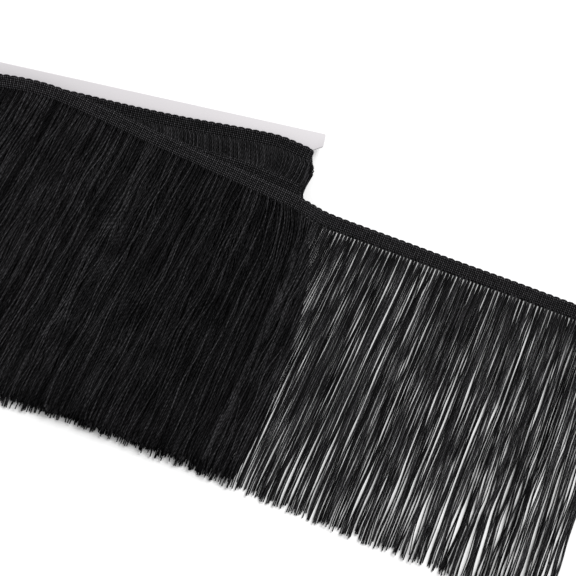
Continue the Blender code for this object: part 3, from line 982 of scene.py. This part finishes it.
def loose_path(root, rib, yarn, slits, rng):
    """One yarn of the loose end, from its rib over whatever is below it to its cut end."""
    number = rib * YARNS_PER_RIB + yarn
    hang = Hang(root.x, *(read_smooth(HANGS, "x", column, root.x) for column in Hang._fields[1:]))
    length = hang.length + rng.uniform(-RAGGED, RAGGED)
    bundled = (yarn // 2 - 0.5) * 2 * YARN_RADIUS
    even = (yarn - (YARNS_PER_RIB - 1) / 2) * RIB_PITCH / YARNS_PER_RIB
    window = range(number - SLIT_WINDOW, number + SLIT_WINDOW + 2)
    near = [slit for beside in window for slit in slits.get(beside, ())]
    splay = rng.uniform(-TIP_SPLAY, TIP_SPLAY)
    plan = []
    place = Vector((root.x, root.y, 0))
    for n in range(SUPPORT_SAMPLES + 1):
        t = n / SUPPORT_SAMPLES
        run = length * t
        bend = hang.lean + (hang.root - hang.lean) * math.exp(-run / HOOK_LENGTH)
        tip = max(run - length + TIP_LENGTH, 0.0) / TIP_LENGTH
        lean = math.radians(bend * (1 - TIP_STRAIGHTENED * tip**2))
        side = Vector((math.cos(lean), -math.sin(lean), 0))
        parted = ramp(run, PARTING_START, PARTING_FULL)
        free = ramp(run, DRIFT_START, DRIFT_FULL)
        loosened = 1 + (hang.open - 1) * t
        form = section_at(place.y)
        matted = MATTED * ramp(min(place.x - form.left, form.right - place.x), 0.0, MATTED_EASE)
        drift = RIB_DRIFT * loosened * uneven(RIB_SWAY, rib, t) * free
        drift += wander(number, t, YARN_DRIFT * max(matted, loosened), LOOSE_WANDER_RATE) * free
        drift += slit_shift(near, number, run) * loosened
        drift += CLUMP_DRIFT * uneven(CLUMP_SWAY, rib, t) * t + splay * t**TIP_CURL
        plan.append(place + side * (bundled + (even - bundled) * parted + drift))
        place = place + Vector((-math.sin(lean), -math.cos(lean), 0)) * (length / SUPPORT_SAMPLES)
    needs = [root.z]
    for over in plan[1:]:
        below = turns_height(over.x, over.y)
        needs.append(below + CLEARANCE + YARN_RADIUS if below else YARN_RADIUS)
    knots = [(n / LOOSE_STEPS) ** LOOSE_CLOSER for n in range(LOOSE_STEPS + 1)]
    points = []
    for knot, height in zip(knots, taut_heights(needs, knots)):
        at = knot * SUPPORT_SAMPLES
        n = min(int(at), SUPPORT_SAMPLES - 1)
        point = plan[n].lerp(plan[n + 1], at - n)
        loft = TABLE_LIFT * max(0.0, MEAN_LIFT + uneven(YARN_LIFTS, number, knot))
        loft += CLUMP_LIFT * max(0.0, uneven(CLUMP_LIFTS, rib, knot))
        height += STACK_RISE * (yarn % 2) + loft * min(knot * LIFT_GROWTH, 1.0)
        points.append(Vector((point.x, point.y, height)))
    return points


# Painted light: the loose end's copy of the yarn is painted paler than the wound turns'
LOOSE_YARN = black_yarn("loose_yarn", twists=300.0, depth=0.00015, light=0.055)
rng = random.Random(LOOSE_SEED)
slits = make_slits(LOOSE_RIBS, rng)
card_ribs = int(CARD_RUN / RIB_PITCH)
# Painted light: the fringe lying on the table is painted paler than the fringe over the turns
for name, ribs, painted_brightness in (
    ("card_fringe", range(card_ribs), 0.8),
    ("table_fringe", range(card_ribs, LOOSE_RIBS), 1.1),
):
    paths = []
    tones = []
    for rib in ribs:
        root = yarn_root(*loose_frames[rib * RIB_COLUMNS + RIB_COLUMNS // 2], LOOSE_ROOT_RISE)
        for yarn in range(YARNS_PER_RIB):
            paths.append(loose_path(root, rib, yarn, slits, rng))
            tone = painted_brightness * (DARKEST_LOOSE + (1 - DARKEST_LOOSE) * rng.random() ** MOSTLY_DARK)
            tones.append(tone * (1.0 if yarn % 2 else LOWER_YARN_PAINTED_SHADE))
    yarns = draw_yarns(paths, tones)
    finish_piece(name, yarns, LOOSE_YARN, "loose_end")


# ----------------------------------------------------------------------------------------------------
# Table, light and camera. A plain white table under a large soft light and in a bright white room; the
# camera looks down steeply from the side of the cut ends, and from a little to the right.

TABLE_SIZE = 6.0
TABLE_WHITE = (0.86, 0.86, 0.86, 1.0)
TABLE_GRAIN = (0.89, 0.89, 0.89, 1.0)
VIEW_CENTRE = Vector((0.1236, -0.0685, 0.0))
VIEW_AZIMUTH = 13.0
VIEW_ELEVATION = 76.0
VIEW_DISTANCE = 4.0
VIEW_WIDTH = 0.384
SENSOR_WIDTH = 36.0
ROOM_BRIGHTNESS = 0.55


def table():
    """A flat white table top with a very faint grain."""
    bm = bmesh.new()
    bmesh.ops.create_grid(bm, x_segments=1, y_segments=1, size=TABLE_SIZE)
    mesh = bpy.data.meshes.new("table_top")
    bm.to_mesh(mesh)
    bm.free()
    material, tree, surface = new_material("white_table", roughness=0.7)
    grain = soft_pattern(tree, add_node(tree, "ShaderNodeTexCoord").outputs["Object"], scale=300.0)
    tree.links.new(blend_colours(tree, grain, TABLE_WHITE, TABLE_GRAIN), surface.inputs["Base Color"])
    surface.inputs["Specular IOR Level"].default_value = 0.2
    mesh.materials.append(material)
    top = bpy.data.objects.new("table_top", mesh)
    bpy.context.scene.collection.objects.link(top)


def soft_light(name, toward, breadth, strength):
    """A broad, even light from far off, as from a large diffuser overhead."""
    lamp = bpy.data.lights.new(name, "SUN")
    lamp.angle = math.radians(breadth)
    lamp.energy = strength
    item = bpy.data.objects.new(name, lamp)
    item.rotation_euler = Vector(toward).to_track_quat("Z", "Y").to_euler()
    bpy.context.scene.collection.objects.link(item)


def camera():
    """The camera: how far round and how high it stands, and how wide a strip of the table it takes in."""
    azimuth, elevation = math.radians(VIEW_AZIMUTH), math.radians(VIEW_ELEVATION)
    away = Vector(
        (
            math.sin(azimuth) * math.cos(elevation),
            -math.cos(azimuth) * math.cos(elevation),
            math.sin(elevation),
        )
    )
    lens = bpy.data.cameras.new("camera")
    lens.sensor_width = SENSOR_WIDTH
    lens.lens = SENSOR_WIDTH * VIEW_DISTANCE / VIEW_WIDTH
    item = bpy.data.objects.new("camera", lens)
    item.location = VIEW_CENTRE + away * VIEW_DISTANCE
    item.rotation_euler = (math.radians(90 - VIEW_ELEVATION), 0, azimuth)
    bpy.context.scene.collection.objects.link(item)
    bpy.context.scene.camera = item


table()
camera()
soft_light("overhead_light", toward=(0.65, 0.80, 0.72), breadth=45.0, strength=4.3)
room = bpy.data.worlds.new("white_room")
bpy.context.scene.world = room
room.use_nodes = True
room.node_tree.nodes["Background"].inputs["Color"].default_value = (1.0, 1.0, 1.0, 1.0)
room.node_tree.nodes["Background"].inputs["Strength"].default_value = ROOM_BRIGHTNESS
bpy.context.scene.view_settings.view_transform = "Standard"
